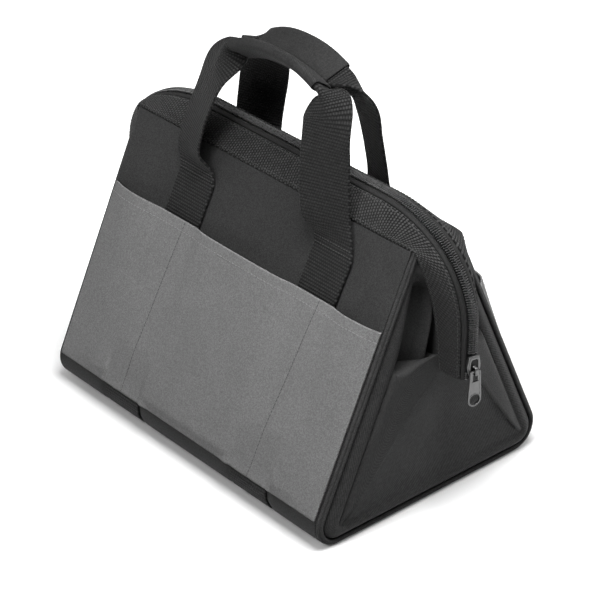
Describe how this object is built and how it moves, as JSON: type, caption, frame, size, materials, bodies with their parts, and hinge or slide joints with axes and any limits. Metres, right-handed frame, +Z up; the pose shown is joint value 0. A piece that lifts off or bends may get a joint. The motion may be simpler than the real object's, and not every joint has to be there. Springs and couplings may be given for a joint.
{
  "type": "tool bag",
  "caption": "Tent-shaped cloth tool bag with sloping walls, grey pockets, folded-in ends, a zip along the top and webbing carry handles.",
  "frame": {"origin": "middle of the base, on the floor", "axes": "+X along the bag towards the end with the slider, -Y out of the front pocket, +Z up"},
  "size_m": [0.3841, 0.2148, 0.3111],
  "materials": {
    "cloth": "matt plain-weave polyester",
    "pocket": "matt plain-weave polyester",
    "webbing": "ribbed woven webbing",
    "sleeve": "smooth plain weave",
    "zip": "woven tape with a moulded coil",
    "metal": "satin gunmetal"
  },
  "bodies": {
    "bag": {"body_wrap": "cloth", "end_panel_left": "cloth", "end_panel_right": "cloth", "piping_left": "cloth", "piping_right": "cloth", "pocket_front": "pocket", "pocket_back": "pocket", "band_front": "webbing", "band_back": "webbing", "strap_left": "webbing", "strap_right": "webbing", "handle_front": "webbing", "handle_back": "webbing", "zip_tape_front": "zip", "zip_tape_back": "zip", "zip_coil": "zip", "zip_slider": "metal", "grip_front": "sleeve", "grip_back": "sleeve"},
    "pull": {"zip_pull": "metal"}
  },
  "joints": [
    {"name": "pull_swing", "type": "hinge", "parent": "bag", "child": "pull", "pos_m": [0.19233, -0.00076, 0.1251], "axis": [-0.1736, -0.9848, 0], "range_deg": [0, 160]}
  ]
}
